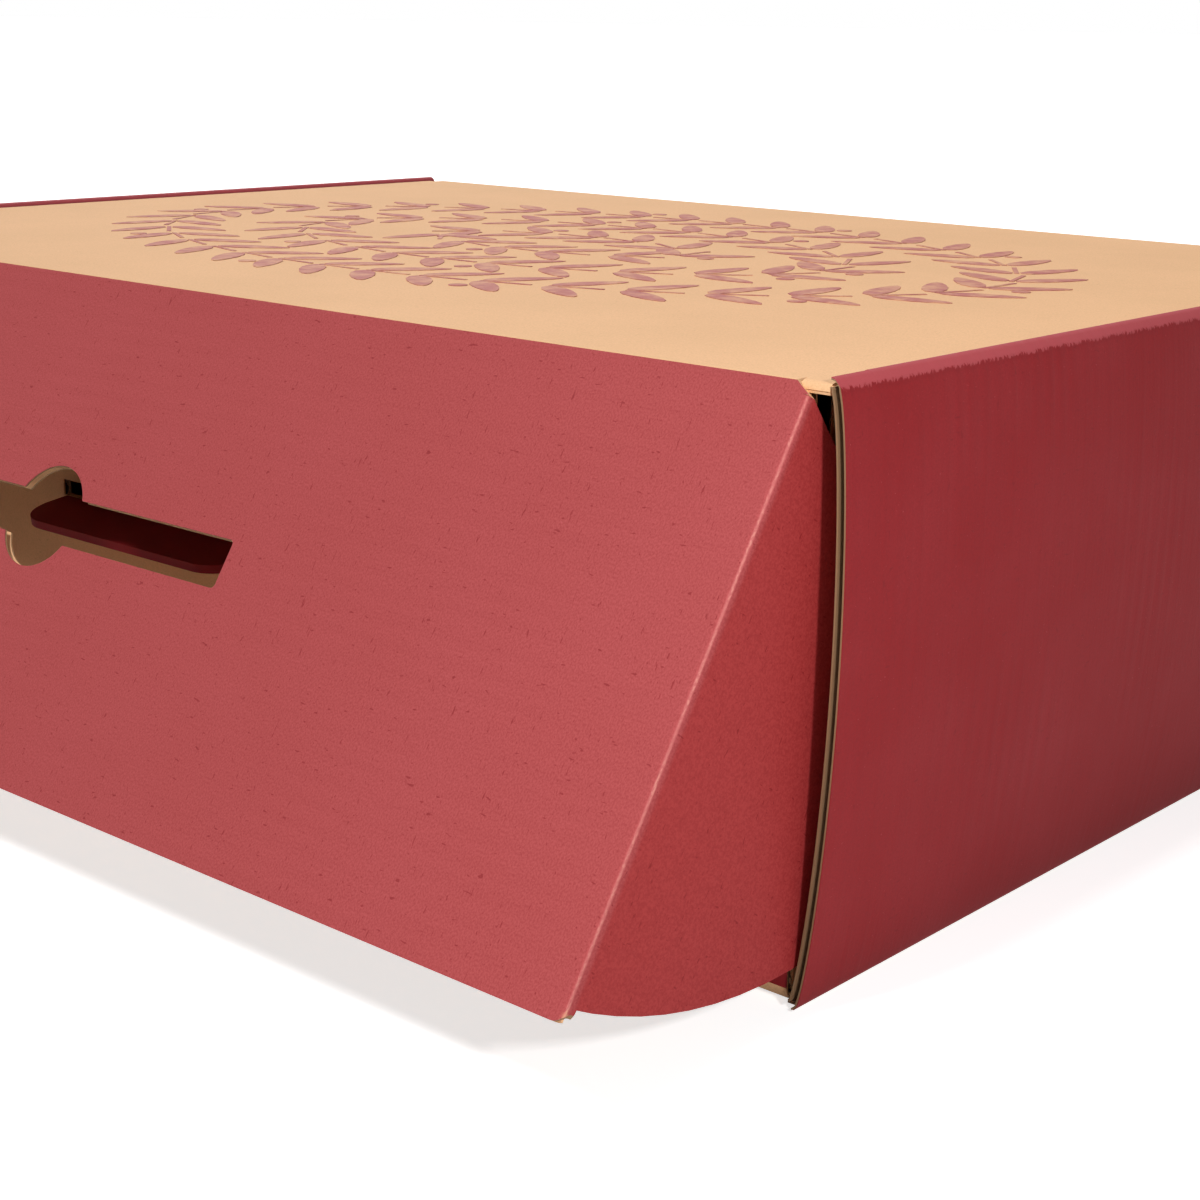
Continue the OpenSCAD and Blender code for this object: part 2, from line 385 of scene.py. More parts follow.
def paper_fibres():
    """Rare dark fibres, pale specks, cloudy patches, fine grain and tooth of recycled paper."""
    tree, given, result = new_group(
        "paper_fibres", [("Position", "NodeSocketVector")],
        ["Fleck", "Speck", "Cloud", "Grain", "Tooth"])
    flecks = []
    for turn, stretch in (((0.3, 0.5, 0.4), (1, 0.16, 0.5)), ((1.1, 0.2, 2.0), (0.16, 1, 0.5)),
                          ((0.7, 1.9, 0.9), (0.8, 0.5, 0.14))):
        threads = noise(tree, given[0], 3400, stretch, turn, 1.0)
        flecks.append(ramped(tree, threads, 0.71, 0.77))
    both = math_node(tree, "MAXIMUM", flecks[0], flecks[1])
    tree.links.new(math_node(tree, "MAXIMUM", both, flecks[2]), result[0])
    specks = noise(tree, given[0], 3200, (1, 0.6, 0.8), (2, 1, 0.3))
    tree.links.new(ramped(tree, specks, 0.70, 0.78), result[1])
    tree.links.new(noise(tree, given[0], 34, detail=4.0), result[2])
    tree.links.new(noise(tree, given[0], 3600, (1, 0.7, 0.8), detail=5.0), result[3])
    tree.links.new(noise(tree, given[0], 1900, detail=3.0), result[4])
    return tree


def washboard():
    """Soft rise and fall of the paper over the flutes, uneven from place to place."""
    tree, given, result = new_group(
        "washboard", [("Position", "NodeSocketVector"), ("Across", "NodeSocketFloat"),
                      ("Along", "NodeSocketFloat")], ["Rise"])
    turned = math_node(tree, "MULTIPLY", given[1], 2 * math.pi / (FLUTE_PITCH * MM))
    wander = math_node(tree, "MULTIPLY", noise(tree, given[0], 26), 3.0)
    wave = math_node(tree, "SINE", math_node(tree, "ADD", turned, wander))
    strength = ramped(tree, noise(tree, given[0], 22, turn=(1, 2, 3)), 0.35, 0.7, 0.0, 0.8)
    lane = add(tree, "ShaderNodeCombineXYZ", X=given[1],
               Y=math_node(tree, "MULTIPLY", given[2], 0.035)).outputs[0]
    streak = math_node(tree, "SUBTRACT", noise(tree, lane, 620, detail=3.0), 0.5)
    streak = math_node(tree, "MULTIPLY", streak, 3.0)
    wave = math_node(tree, "MULTIPLY", wave, strength)
    tree.links.new(math_node(tree, "ADD", wave, streak), result[0])
    return tree


FIBRES = paper_fibres()
WASHBOARD = washboard()


def new_finish(name, roughness, specular=0.3):
    material = bpy.data.materials.new(name)
    material.use_nodes = True
    shader = material.node_tree.nodes["Principled BSDF"]
    shader.inputs["Roughness"].default_value = roughness
    shader.inputs["Specular IOR Level"].default_value = specular
    return material, material.node_tree, shader


def on_surface(tree, place=None):
    """Where a point of the surface is at rest, in the box's frame or turned into a panel's own."""
    position = add(tree, "ShaderNodeTexCoord").outputs["Object"]
    if place:
        position = add(tree, "ShaderNodeMapping", n0=position, Location=place.to_translation(),
                       Rotation=place.to_euler()).outputs[0]
    split = add(tree, "ShaderNodeSeparateXYZ", n0=position).outputs
    return position, split


def paper_panel(tree, across, along, place=None):
    """The paper's marks and the flutes under it at each point of a panel."""
    position, split = on_surface(tree, place)
    paper = add(tree, "ShaderNodeGroup", {"node_tree": FIBRES}, Position=position).outputs
    wave = add(tree, "ShaderNodeGroup", {"node_tree": WASHBOARD}, Position=position,
               Across=split[across], Along=split[along]).outputs[0]
    return position, split, paper, wave


def paper_colour(tree, paper, colour, patch, dark, pale, cloud, grain, fleck, speck):
    """A colour with the paper's patches, grain, fibres and specks, each by its own strength."""
    patches = ramped(tree, paper["Cloud"], 0.3, 0.75, 0.0, cloud)
    grains = ramped(tree, paper["Grain"], 0.35, 0.65, grain, 0.0)
    colour = tinted(tree, patches, colour, patch)
    colour = tinted(tree, grains, colour, dark)
    colour = tinted(tree, math_node(tree, "MULTIPLY", paper["Fleck"], fleck), colour, dark)
    return tinted(tree, math_node(tree, "MULTIPLY", paper["Speck"], speck), colour, pale)


def raised(tree, shader, height, depth, before=None):
    """Adds a bump of so many metres to the shader, over an earlier one."""
    bump = add(tree, "ShaderNodeBump", Height=height, Distance=depth, Strength=1.0)
    if before:
        tree.links.new(before, bump.inputs["Normal"])
    tree.links.new(bump.outputs[0], shader.inputs["Normal"])
    return bump.outputs[0]


KRAFT = (0.83, 0.490, 0.262, 1)
# Brown of cut edges and the wavy paper inside, partly their own colour and partly painted shade
RAW_EDGE = (0.16, 0.085, 0.042, 1)
KRAFT_DARK = (0.52, 0.31, 0.15, 1)
KRAFT_PALE = (0.90, 0.70, 0.47, 1)
BURGUNDY = (0.270, 0.014, 0.017, 1)
# The flap's ink is the same burgundy painted paler and greyer: a painted sheen where the flap and its fold
# face the light
BURGUNDY_FRONT_SHEEN = (0.412, 0.076, 0.076, 1)
BURGUNDY_DARK = (0.20, 0.014, 0.017, 1)
BURGUNDY_PALE = (0.52, 0.110, 0.125, 1)
RUBBED_INK = (0.62, 0.18, 0.17, 1)
RUBBED = (0.70, 0.30, 0.24, 1)
# Painted shade that darkens the ears, which face the side, below the flap's paler ink
EAR_PAINTED_SHADE = (0.94, 0.57, 0.56, 1)
LID_INK = (0.36, 0.085, 0.09, 1)

# The stretched ink of the rolled top: the heights in metres between which its paler band fades in,
# and the height of the dark line under it
BAND_FROM, BAND_FULL = 0.08925, 0.08955
BAND_LINE = 0.0890


def kraft_finish(name, across, along):
    """Bare kraft paper, brown where a face is marked raw, partly as painted shade."""
    material, tree, shader = new_finish(name, 0.82)
    position, split, paper, wave = paper_panel(tree, across, along)
    colour = paper_colour(tree, paper, KRAFT, KRAFT_DARK, KRAFT_DARK, KRAFT_PALE,
                          cloud=0.14, grain=0.26, fleck=0.4, speck=0.4)
    # Faint painted shade of the flutes' ripples: darker where the washboard wave is high
    colour = tinted(tree, ramped(tree, wave, -1.0, 1.0, 0.0, 0.02), colour, KRAFT_DARK)
    raw = add(tree, "ShaderNodeAttribute", {"attribute_name": "raw"}).outputs["Fac"]
    colour = tinted(tree, raw, colour, RAW_EDGE)
    tree.links.new(colour, shader.inputs["Base Color"])
    raised(tree, shader, paper["Tooth"], 0.00002)
    return material


def print_finish(name, ink, across, along, ribs, place=None, rub=None):
    """Burgundy ink, painted darker by ribs in stripes as painted shade of the flutes' ripples, which are
    also bumped, and a rub that wears its edges.
    """
    material, tree, shader = new_finish(name, 0.62, 0.1)
    position, split, paper, wave = paper_panel(tree, across, along, place)
    colour = paper_colour(tree, paper, ink, BURGUNDY_PALE, BURGUNDY_DARK, BURGUNDY_PALE,
                          cloud=0.1, grain=0.36, fleck=0.6, speck=0.5)
    # Painted shade of the flutes' ripples: darker stripes where the washboard wave is high
    colour = tinted(tree, ramped(tree, wave, -1.2, 1.2, 0.0, ribs), colour, BURGUNDY_DARK)
    if rub:
        colour = rub(tree, position, split, colour)
    tree.links.new(colour, shader.inputs["Base Color"])
    normal = raised(tree, shader, paper["Tooth"], 0.00002)
    raised(tree, shader, wave, ribs * 0.0001, normal)
    return material


def rub_flap(tree, position, split, colour):
    """Painted shade on the ears, which face the side, a pale cracked line along their creases, and worn low
    corners.
    """
    across = math_node(tree, "ABSOLUTE", split["X"])
    off = math_node(tree, "SUBTRACT", math_node(tree, "SUBTRACT", FLAP_X * MM, across), split["Y"])
    off = math_node(tree, "ABSOLUTE", off)
    ragged = noise(tree, position, 3800, (1, 1, 0.4), detail=4.0)
    ragged = ramped(tree, ragged, 0.35, 0.65, -0.00012, 0.00024)
    spread = math_node(tree, "ADD", off, ragged)
    patchy = ramped(tree, noise(tree, position, 150, detail=4.0), 0.35, 0.65, 0.1, 0.5)
    crack = math_node(tree, "MULTIPLY", ramped(tree, spread, 0.0, 0.0003, 1.0, 0.0), patchy)
    above_corner = math_node(tree, "ADD", split["Z"], (FLAP_LEN - 1.2) * MM)
    above_corner = math_node(tree, "MAXIMUM", above_corner, 0.0)
    worn = math_node(tree, "ADD", spread, above_corner)
    # Painted shade: the ears, which face the side, are painted darker than the flap's face
    ear_shade = ramped(tree, split["Y"], 0.0006, 0.0018, 0.0, 1.0)
    colour = tinted(tree, ear_shade, colour, EAR_PAINTED_SHADE, "MULTIPLY")
    colour = tinted(tree, ramped(tree, off, 0.0001, 0.0005, 0.5, 0.0), colour, RUBBED_INK)
    colour = tinted(tree, crack, colour, RUBBED)
    return tinted(tree, ramped(tree, worn, 0.0002, 0.0010, 0.35, 0.0), colour, KRAFT)


def rub_crest(tree, position, split, colour):
    """Paler stretched ink along the rolled top, with a ragged lower edge."""
    ragged = noise(tree, position, 2200, (1, 1, 0.12), detail=5.0)
    ragged = ramped(tree, ragged, 0.35, 0.65, -0.0003, 0.0003)
    height = math_node(tree, "ADD", split["Z"], ragged)
    band = ramped(tree, height, BAND_FROM, BAND_FULL, 0.0, 0.55)
    under = math_node(tree, "ABSOLUTE", math_node(tree, "SUBTRACT", height, BAND_LINE))
    under = ramped(tree, under, 0.0, 0.0007, 0.3, 0.0)
    colour = tinted(tree, under, colour, BURGUNDY_DARK)
    return tinted(tree, band, colour, BURGUNDY_PALE)


flap_place = Matrix.Translation((0, FRONT, TOP)) @ Matrix.Rotation(-OPEN, 4, "X")
flap_frame = Matrix.Rotation(OPEN, 4, "X") @ Matrix.Translation((0, -FRONT * MM, -TOP * MM))

kraft_flat = kraft_finish("kraft_flat", "Y", "X")
kraft_side = kraft_finish("kraft_side", "Y", "Z")
# The flap's print gets the paler ink, a painted sheen
flap_ink = print_finish("flap_ink", BURGUNDY_FRONT_SHEEN, "Z", "X", 0.06, flap_frame, rub_flap)
side_ink = print_finish("side_ink", BURGUNDY, "Y", "Z", 0.24, None, rub_crest)
wall_ink = print_finish("wall_ink", BURGUNDY, "Z", "X", 0.14)


# Side walls: outer panel, rolled crest, strip and inner panel as one line across the board

CREST_R = BOARD + 0.1
CREST_RISE = 0.9
CREST_Z = TOP + CREST_RISE - CREST_R
LEAN = 3.2
BOW = 3.8
BOW_POWER = 0.55


def wall_x(z):
    """How far the side wall stands out from its foot at a height."""
    return LEAN * z / TOP + BOW * max(0.0, math.sin(math.pi * z / TOP)) ** BOW_POWER


CREST_X = wall_x(CREST_Z) - CREST_R
LEG_X = CREST_X - CREST_R
SHOULDER_X = -4.0
INNER_SLOPE = (BOARD + PLAY) / (STRIP_TOP - DUST_TOP)


def inner_x(z):
    """The inner panel's outer face at a height, as wall_x gives the outer panel's."""
    return SHOULDER_X - INNER_SLOPE * (STRIP_TOP - z)


def at_foot(line):
    """A line across the right side wall, moved from its foot to its place in the box."""
    return [(FOOT + x, z) for x, z in line]


heights = [CREST_Z * (1 - math.cos(math.pi * i / 36)) / 2 for i in range(3, 37)]
panel = [(wall_x(z), z) for z in heights]
base_end = (CORE - FOOT, 0.0)
foot = curve((-1.5, 0.0), (0.45, 0.0), panel[0], 6)
crest_edge = (CREST_X + CREST_R, CREST_Z + 0.3)
crest_top = (CREST_X + 0.6, CREST_Z + CREST_R - 0.12)
crest_out = (curve((crest_edge[0] + 0.02, CREST_Z), crest_edge,
                   (crest_edge[0] - 0.2, crest_edge[1] + 0.26), 4)[1:]
             + curve((CREST_X + 0.85, CREST_Z + CREST_R - 0.35), crest_top,
                     (CREST_X, CREST_Z + CREST_R), 5))
crest_in = arc(CREST_X, CREST_Z, CREST_R, 90, 180, 12)
round_out = arc(CREST_X, CREST_Z, CREST_R, 0, 90, 12)
outer_line = at_foot([base_end] + foot + panel[1:] + round_out[1:])
roll_line = at_foot(crest_in + [(LEG_X, STRIP_TOP), (SHOULDER_X, STRIP_TOP),
                                (inner_x(BOARD + PLAY), BOARD + PLAY)])
inner_panel = roll_line[len(crest_in) - 1:]
ink_line = at_foot(foot[3:] + panel[1:] + crest_out)
roll_ink_line = at_foot(crest_in + [(LEG_X, STRIP_TOP)])
WALL_FRONT = FRONT + PLAY
ROLL_FRONT = FRONT + SETBACK
WALL_BACK = BACK - 3.0

side_print = joined(
    "side_print_right_skin",
    layer("ink", ink_line, INK, "y", (WALL_FRONT, WALL_BACK)),
    layer("ink", roll_ink_line, INK, "y", (ROLL_FRONT, WALL_BACK)))
crisp_line = at_foot([base_end] + foot + panel[1:] + crest_out)
outer_sheets = [
    bar("liner", offset(crisp_line, PRINT) + offset(outer_line, INKED_OUTER[1])[::-1], "y",
        (WALL_FRONT, WALL_BACK)),
    layer("liner", outer_line, INNER, "y", (WALL_FRONT, WALL_BACK)),
    flutes_down("medium", outer_line, "y", WALL_FRONT + EDGE_RECESS, WALL_FRONT + EDGE_DEPTH)]
foot_cut = [(136, -1), (141.9, -1), (141.6, 0.9), (141.0, 2), (141.0, 5), (136, 5)]
foot_tool = bar("foot_tool", foot_cut, "y", (FRONT - 2, WALL_Y + 0.4))
for sheet in outer_sheets:
    cut(sheet, foot_tool)
discard(foot_tool)
# Painted shade: the liners' inner faces, seen in the recess at the wall's ends, are painted brown
mark_raw(outer_sheets[0], lambda centre, normal: normal.x < -0.3, CUT_BROWN_AND_SHADE)
mark_raw(outer_sheets[1], lambda centre, normal: normal.x > 0.3, CUT_BROWN_AND_SHADE)
side_board = joined(
    "side_wall_right", *outer_sheets,
    flutes_down("medium", outer_line, "y", WALL_BACK - EDGE_DEPTH, WALL_BACK - EDGE_RECESS),
    layer("liner", roll_line, INKED_OUTER, "y", (ROLL_FRONT, WALL_BACK)),
    layer("liner", roll_line, INNER, "y", (ROLL_FRONT, WALL_BACK)),
    flutes_down("medium", inner_panel, "y", ROLL_FRONT + EDGE_RECESS, ROLL_FRONT + EDGE_DEPTH),
    flutes_down("medium", inner_panel, "y", WALL_BACK - EDGE_DEPTH, WALL_BACK - EDGE_RECESS))

tabs = []
for middle in TAB_PLACES:
    tab_line = at_foot([(inner_x(3.2), 3.2), (inner_x(0.0), 0.02)])
    for depths in (INKED_OUTER, INNER):
        tabs.append(layer("tab", tab_line, depths, "y", (middle - TAB_HALF, middle + TAB_HALF)))
    tabs.append(flutes_down("tab", tab_line, "y", middle - TAB_HALF + 0.1, middle + TAB_HALF - 0.1))
tabs_right = joined("locking_tabs_right", *tabs)

finish_piece(other_side(side_print, "side_print_left_skin"), side_ink, "box", "burgundy_print",
             "side_print_left")
finish_piece(side_print, side_ink, "box", "burgundy_print", "side_print_right")
for made, left_name in ((side_board, "side_wall_left"), (tabs_right, "locking_tabs_left")):
    for piece in (other_side(made, left_name), made):
        finish_piece(piece, kraft_side, "box", "kraft_board", "tray_and_lid",
                     cut_edge=lambda centre, normal: abs(normal.y) > 0.9)


# Front wall, base and back wall as one line, up to the rear fold of the lid

tray_line = (
    [(WALL_Y, STRIP_TOP)]
    + arc(WALL_Y + FOLD_R, FOLD_R, FOLD_R, 180, 270, 8)
    + arc(BACK - FOLD_R, FOLD_R, FOLD_R, 270, 360, 8)
    + arc(BACK - FOLD_R, TOP - FOLD_R, FOLD_R, 0, 90, 8))


def oblong(x_from, x_to, y_from, y_to):
    """The four corners of an oblong."""
    return [(x_from, y_from), (x_to, y_from), (x_to, y_to), (x_from, y_to)]


slit = bar("slit", oblong(-TONGUE_HALF - 1, TONGUE_HALF + 1, TONGUE_TOP, TONGUE_TOP + 3), "y",
           (-110, -96))
tab_holes = []
for side in (-1, 1):
    x_from, x_to = sorted((side * (FOOT + inner_x(0) - PLAY),
                           side * (FOOT + inner_x(BOARD) + BOARD + PLAY)))
    for middle in TAB_PLACES:
        hole = oblong(x_from, x_to, middle - TAB_HALF - PLAY, middle + TAB_HALF + PLAY)
        tab_holes.append(bar("hole", hole, "z", (-2, 4)))
tray_layers = [
    layer("liner", tray_line, BARE_OUTER, "x", (-CORE, CORE)),
    layer("liner", tray_line, INNER, "x", (-CORE, CORE)),
    flutes_across("medium", tray_line, "x", -CORE + 0.05, CORE - 0.05)]
for sheet in tray_layers:
    cut(sheet, slit, *tab_holes)
tray = joined("front_base_and_back", *tray_layers)
finish_piece(tray, kraft_flat, "box", "kraft_board", "tray_and_lid")
discard(slit, *tab_holes)


# Flat panels

def flat_board(name, outline, axis, face, outer=BARE_OUTER):
    """A flat panel of three layers with one outline, which go down from a face along the axis."""
    xs, ys = [p[0] for p in outline], [p[1] for p in outline]
    sheets = [bar("liner", outline, axis, (face - near, face - far))
              for near, far in (outer, INNER)]
    ends = (min(xs) - 1, max(xs) + 1)
    steps = round((max(ys) - min(ys)) / FLUTE_PITCH * FLUTE_STEPS) + 1

    def place(i, j):
        along = min(ys) + j * FLUTE_PITCH / FLUTE_STEPS
        return PLACED[axis](ends[i], along, face - flute(along))

    medium = grid("medium", 1, steps, place)
    whole = bar("whole", outline, axis, (face - 0.2, face - 1.5))
    cut(medium, whole, operation="INTERSECT")
    discard(whole)
    return joined(name, *sheets, medium)


# Lid, seen from above: notch for the fold strip at the front, wide corners, side edges, rear fold

FOLD_BACK = 2.0
CURL_BACK = FRONT + FOLD_BACK
CORNER_X = FOOT + wall_x(CREST_Z) - BOARD - PLAY
LID_SIDE = FOOT + LEG_X - PLAY
REAR_NOTCH = BACK - FOLD_R - 3.0
lid_half = [
    (CORNER_X, CURL_BACK), (CORNER_X, ROLL_FRONT - PLAY), (LID_SIDE, ROLL_FRONT - PLAY),
    (LID_SIDE, REAR_NOTCH), (CORE, REAR_NOTCH), (CORE, BACK - FOLD_R)]
lid_outline = lid_half + [(-x, y) for x, y in lid_half[::-1]]
lid = flat_board("lid", lid_outline, "z", TOP, outer=(0.0, 0.3))
curled = (
    [(CURL_BACK, TOP)]
    + curve((CURL_BACK - 0.15, TOP), (WALL_FRONT + 0.1, TOP - 0.05), (WALL_FRONT, TOP - 1.15), 9)
    + [(WALL_FRONT + 0.25, TOP - 1.2), (WALL_FRONT + 0.05, TOP - 1.3),
       (WALL_FRONT + 0.1, TOP - BOARD), (CURL_BACK, TOP - BOARD)])
corners = [bar("curl", curled, "x", sorted((side * (FOLD_X + PLAY), side * CORNER_X)))
           for side in (-1, 1)]
finish_piece(joined("lid", lid, *corners), kraft_flat, "box", "kraft_board", "tray_and_lid",
             cut_edge=lambda centre, normal: abs(normal.z) < 0.3 and centre.y > CURL_BACK)


# Dust flaps, seen from the side: distance back and height

dust = [(0, DUST_LOW), (DUST_LEN - DUST_CUT, DUST_LOW), (DUST_LEN, DUST_LOW + DUST_CUT),
        (DUST_LEN, DUST_TOP - DUST_CUT), (DUST_LEN - DUST_CUT, DUST_TOP), (0, DUST_TOP)]
dust_flaps = [
    flat_board("dust_flap", [(WALL_Y + 1.0 + y, z) for y, z in dust], "x", CORE - 0.05),
    flat_board("dust_flap", [(BACK - 1.0 - y, z) for y, z in dust], "x", CORE - 0.05)]
dust_right = joined("dust_flaps_right", *dust_flaps)
for piece in (other_side(dust_right, "dust_flaps_left"), dust_right):
    finish_piece(piece, kraft_side, "box", "kraft_board", "tray_and_lid")


# Closing tongue, seen from above before it is dipped

def tongue_outline(root, grow):
    half, round_x, round_y = TONGUE_HALF + grow, TONGUE_HALF - TONGUE_R, -TONGUE_STRAIGHT
    return (
        [(half, root), (-half, root), (-half, round_y)]
        + arc(-round_x, round_y, TONGUE_R + grow, 180, 270, 12)[1:]
        + arc(round_x, round_y, TONGUE_R + grow, 270, 360, 12))


tongue = flat_board("closing_tongue", tongue_outline(1.2, 0), "z", 0.0, outer=INKED_OUTER)
tongue_skin = bar("closing_tongue_print", tongue_outline(0, 0.1), "z", (0, 0.1 - BOARD))
tongue_core = bar("tongue_core", tongue_outline(2, 0.01), "z", (-PRINT, -2 * BOARD))
cut(tongue_skin, tongue_core)
discard(tongue_core)
tongue_place = Matrix.Translation((0, WALL_Y, TONGUE_TOP)) @ Matrix.Rotation(TONGUE_DIP, 4, "X")
finish_piece(tongue, kraft_flat, "box", "kraft_board", "tray_and_lid", place=tongue_place)
finish_piece(tongue_skin, wall_ink, "box", "burgundy_print", "front_wall_print", place=tongue_place)
corner_print = bar("front_corner_print_right",
                   oblong(CORE - BLEED, CORE, WALL_Y, WALL_Y + PRINT), "z", (FOLD_R, STRIP_TOP))
for piece in (other_side(corner_print, "front_corner_print_left"), corner_print):
    finish_piece(piece, wall_ink, "box", "burgundy_print", "front_wall_print")


# Front flap with its two ears, in its own frame: x across, y inwards, z down from the fold

CREASE_R = 1.1
EAR_DEPTH = 62.0
EAR_C = (-6.5, -2.3)
EAR_R = math.hypot(EAR_C[0], FLAP_LEN - 2.1 - EAR_C[1])
EAR_HIGH_R = 5.5
EAR_LOW_R = 11


def ear_low(u):
    """How far down an ear's round lower edge is at a depth behind the flap."""
    return EAR_C[1] + math.sqrt(EAR_R ** 2 - (u - EAR_C[0]) ** 2)


def flap_line(depth):
    """The flap seen along its fold line: ear, crease, face, crease and ear."""
    radius = max(CREASE_R - depth, 0.03)
    edge = FLAP_X - depth
    return (
        [(-edge, EAR_DEPTH + 2)]
        + arc(-edge + radius, depth + radius, radius, 180, 270, 8)
        + arc(edge - radius, depth + radius, radius, 270, 360, 8)
        + [(edge, EAR_DEPTH + 2)])


ear_back_low = ear_low(EAR_DEPTH - EAR_LOW_R) - EAR_LOW_R
ear_high = 5.6 + 0.2 * (EAR_DEPTH - 12)
ear_outline = (
    [(-2.0, -FOLD_CUT), (1.4, -1.9), (4.8, -3.2), (7.7, -4.3), (12, -5.6)]
    + arc(EAR_DEPTH - EAR_HIGH_R, -ear_high - EAR_HIGH_R, EAR_HIGH_R, 80, 0, 8)
    + arc(EAR_DEPTH - EAR_LOW_R, -ear_back_low, EAR_LOW_R, 0, -57, 10)
    + [(u, -ear_low(u)) for u in range(50, -1, -5)]
    + [(-2.0, -ear_low(0))])
face_outline = (
    [(-FLAP_X, -FOLD_CUT), (FLAP_X, -FOLD_CUT)]
    + arc(FLAP_X - FLAP_CORNER, FLAP_CORNER - FLAP_LEN, FLAP_CORNER, 0, -90, 8)
    + arc(FLAP_CORNER - FLAP_X, FLAP_CORNER - FLAP_LEN, FLAP_CORNER, -90, -180, 8))
thumb_angle = math.degrees(math.asin(SLOT_HALF / THUMB_R))
end_x, end_z = SLOT_END - SLOT_CORNER, SLOT_HALF - SLOT_CORNER
slot_outline = (
    [(-SLOT_END, -SLOT_HALF)]
    + arc(0, 0, THUMB_R, 180 + thumb_angle, 360 - thumb_angle, 20)
    + arc(end_x, -end_z, SLOT_CORNER, -90, 0, 4)
    + arc(end_x, end_z, SLOT_CORNER, 0, 90, 4)
    + arc(0, 0, THUMB_R, thumb_angle, 180 - thumb_angle, 20)
    + [(-SLOT_END, SLOT_HALF)])
slot_tool = bar("slot_tool", [(x, z - SLOT_DROP) for x, z in slot_outline], "y", (-3, 5))
keep = bar("keep", face_outline, "y", (-1, BOARD + 0.1))
ears = [bar("ear", ear_outline, "x", span) for span in ((139.0, 143.0), (-143.0, -139.0))]
cut(keep, *ears, operation="UNION")


def flap_layer(depths):
    section = flap_line(depths[0]) + flap_line(depths[1])[::-1]
    return bar("flap_layer", section, "z", (-FLAP_LEN - 1, -FOLD_CUT - 0.001))


flap_mid = flap_line(0.0)
flap_left = sideways(flap_mid)
wave_rows = round((FLAP_LEN + 1) / FLUTE_PITCH * FLUTE_STEPS)


def flap_wave(i, j):
    z = -FOLD_CUT - j * FLUTE_PITCH / FLUTE_STEPS
    point = Vector(flap_mid[i]) + flute(z) * flap_left[i]
    return (point.x, point.y, z)


def is_slot_floor(centre, normal):
    """Whether a face is on the slot's lower cut edge, which faces up into the light."""
    near_slot = abs(centre.x) < 60 and abs(centre.z + SLOT_DROP) < 15
    return near_slot and normal.z > 0.25


def flap_edge(centre, normal):
    """Whether a face in the flap's own frame lies on a cut edge that shows brown."""
    if is_slot_floor(centre, normal):
        return False
    slot_end = abs(centre.x) < 100 and abs(normal.x) > 0.5
    ear_end = centre.y > 50 and abs(normal.y) > 0.5
    return abs(normal.z) > 0.25 or slot_end or ear_end


flap_skin = flap_layer(INK)
flap_sheets = [flap_layer(INKED_OUTER), flap_layer(INNER),
               grid("flap_layer", len(flap_mid) - 1, wave_rows, flap_wave)]
for sheet in (flap_skin, *flap_sheets):
    cut(sheet, keep, operation="INTERSECT")
    cut(sheet, slot_tool)
flap_board = joined("flap_and_ears", *flap_sheets)
# Painted highlight: the slot's floor, facing up into the light, is painted less brown
mark_raw(flap_board, is_slot_floor, SLOT_BROWN_PAINTED_LIGHT)
flap_skin.name = flap_skin.data.name = "flap_and_ears_print"
finish_piece(flap_board, kraft_side, "flap", "kraft_board", "front_flap", place=flap_place,
             cut_edge=flap_edge)
finish_piece(flap_skin, flap_ink, "flap", "burgundy_print", "flap_print", place=flap_place,
             angle=50)
discard(keep, slot_tool, *ears)


# Fold between the lid and the flap, which bends as the flap swings

down = Vector((-math.sin(OPEN), -math.cos(OPEN)))
inward = Vector((math.cos(OPEN), -math.sin(OPEN)))
edge = Vector((FRONT, TOP))
outer_fold = (
    [(CURL_BACK, TOP)]
    + curve((FRONT + 0.6, TOP), edge, edge + 0.8 * down, 8)
    + [tuple(edge + FOLD_CUT * down)])
inner_fold = curve(
    (CURL_BACK, TOP - BOARD), (FRONT + 0.88, TOP - BOARD),
    edge + BOARD * inward + FOLD_CUT * down, 8)

# The point of the outer line where the flap's print begins
PRINT_FROM = 4


def fitted_fold(piece):
    """Widens the strip from the fold to the cut corners below it."""
    for point in piece.data.vertices:
        below = max(0.0, (Vector(point.co.yz) - edge).dot(down))
        half = FOLD_X + (FLAP_X - FOLD_X) * min(1.0, below / FOLD_CUT)
        point.co.x = math.copysign(half, point.co.x)
    return piece


fold_board = fitted_fold(bar("fold_strip", outer_fold + inner_fold[::-1], "x", (-1, 1)))
printed_fold = outer_fold[PRINT_FROM:]
fold_skin = fitted_fold(bar("fold_strip_print", offset(printed_fold, -0.004)
                            + offset(printed_fold, PRINT)[::-1], "x", (-1, 1)))
fold_start = Vector((0, CURL_BACK - 0.3, TOP - 0.8)) * MM
fold_end = edge + 0.8 * inward + (FOLD_CUT - 0.3) * down
fold_end = Vector((0, fold_end.x, fold_end.y)) * MM
finish_piece(fold_board, kraft_flat, None, "kraft_board", "tray_and_lid")
finish_piece(fold_skin, flap_ink, None, "burgundy_print", "flap_print")
for piece in (fold_board, fold_skin):
    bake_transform(piece, "box", "flap", start=fold_start, end=fold_end)


# CAD nodes that stay

def repaint(node, finish):
    """Gives a node of the CAD its finish."""
    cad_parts[node].data.materials.clear()
    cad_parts[node].data.materials.append(finish)


repaint("back_print", wall_ink)


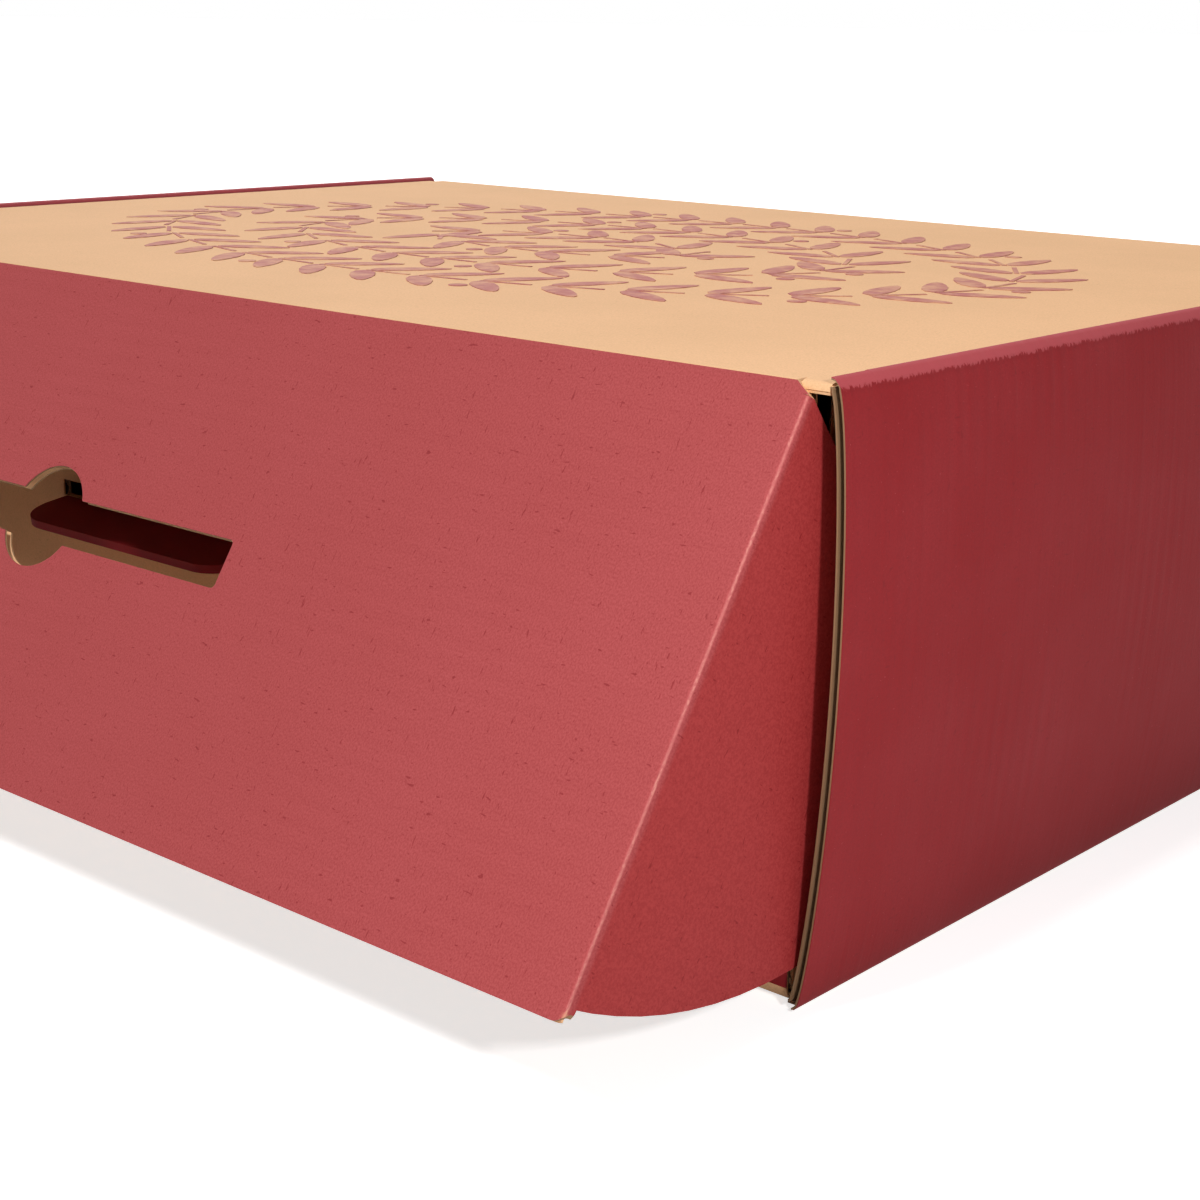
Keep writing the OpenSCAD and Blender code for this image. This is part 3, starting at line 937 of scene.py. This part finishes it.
def lid_ink_finish():
    """Thin ink that lets the kraft paper through in patches."""
    material, tree, shader = new_finish("lid_ink", 0.75)
    position = on_surface(tree)[0]
    paper = add(tree, "ShaderNodeGroup", {"node_tree": FIBRES}, Position=position).outputs
    thin = ramped(tree, noise(tree, position, 260, detail=4.0), 0.35, 0.75, 0.1, 0.55)
    colour = tinted(tree, thin, LID_INK, KRAFT)
    colour = tinted(tree, math_node(tree, "MULTIPLY", paper["Fleck"], 0.4), colour, BURGUNDY_DARK)
    tree.links.new(colour, shader.inputs["Base Color"])
    raised(tree, shader, paper["Tooth"], 0.00002)
    return material


repaint("lid_print", lid_ink_finish())


# Floor, backdrop, light and camera

CAMERA_PLACE = (0.30435, -0.33179, 0.13549)
CAMERA_TURN = (41.34, 15.19, 0.846)
CAMERA_LENS = 64.386


def seen_white(tree):
    """1 where the camera looks straight, in a reflection or through glass, and 0 elsewhere."""
    path = add(tree, "ShaderNodeLightPath").outputs
    seen = math_node(tree, "MAXIMUM", path["Is Camera Ray"], path["Is Glossy Ray"])
    return math_node(tree, "MAXIMUM", seen, path["Is Transmission Ray"])


def stage_floor():
    """A plain pale floor that shines white to the eye and still keeps a light shadow."""
    bpy.ops.object.select_all(action="DESELECT")
    bpy.ops.mesh.primitive_plane_add(size=60, location=(0, 0, -0.0002))
    floor = bpy.context.object
    floor.name = "studio_floor"
    material, tree, shader = new_finish("studio_floor", 0.9, 0.1)
    shader.inputs["Base Color"].default_value = (0.80, 0.80, 0.80, 1)
    shader.inputs["Emission Color"].default_value = (1, 1, 1, 1)
    glow = math_node(tree, "MULTIPLY", seen_white(tree), 0.7)
    tree.links.new(glow, shader.inputs["Emission Strength"])
    floor.data.materials.append(material)


def studio_world():
    """White behind everything, and a faint light from all sides."""
    world = bpy.data.worlds.new("studio")
    bpy.context.scene.world = world
    world.use_nodes = True
    tree = world.node_tree
    background = tree.nodes["Background"]
    background.inputs["Color"].default_value = (1, 1, 1, 1)
    strength = ramped(tree, seen_white(tree), 0.0, 1.0, 0.07, 1.0)
    tree.links.new(strength, background.inputs["Strength"])


def hang(light, place, away):
    """Puts a light at a place, with its back turned to the direction away."""
    lamp = bpy.data.objects.new(light.name, light)
    bpy.context.collection.objects.link(lamp)
    lamp.location = place
    lamp.rotation_euler = away.to_track_quat("Z", "Y").to_euler()


def soft_sun(name, towards, strength, softness):
    """Light from one side, as bright as strength on a white surface that faces it."""
    light = bpy.data.lights.new(name, "SUN")
    light.energy = strength * math.pi
    light.angle = math.radians(softness)
    hang(light, Vector(towards) * 2, Vector(towards))


def near_lamp(name, place, target, size, power):
    """A small soft lamp close by that shines at a target."""
    light = bpy.data.lights.new(name, "AREA")
    light.size = size
    light.energy = power
    hang(light, place, Vector(place) - Vector(target))


def photo_camera():
    camera = bpy.data.objects.new("camera", bpy.data.cameras.new("camera"))
    bpy.context.collection.objects.link(camera)
    yaw, pitch, roll = (math.radians(angle) for angle in CAMERA_TURN)
    level = Vector((-math.sin(yaw), math.cos(yaw), 0))
    ahead = level * math.cos(pitch) - Vector((0, 0, math.sin(pitch)))
    right = Vector((math.cos(yaw), math.sin(yaw), 0))
    up = right.cross(ahead)
    across = right * math.cos(roll) + up * math.sin(roll)
    above = up * math.cos(roll) - right * math.sin(roll)
    turn = Matrix((across, above, -ahead)).transposed()
    camera.matrix_world = Matrix.Translation(CAMERA_PLACE) @ turn.to_4x4()
    camera.data.sensor_width = 36
    camera.data.lens = CAMERA_LENS
    camera.data.clip_start = 0.01
    bpy.context.scene.camera = camera


stage_floor()
studio_world()
soft_sun("front_light", (-0.15, -0.48, 0.865), 0.80, 14)
soft_sun("back_fill", (-0.7, 0.6, 0.45), 0.22, 20)
near_lamp("side_light", (0.362, -0.232, 0.17), (0.142, -0.1, 0.05), 0.025, 0.48)
photo_camera()
bpy.context.scene.view_settings.view_transform = "Standard"
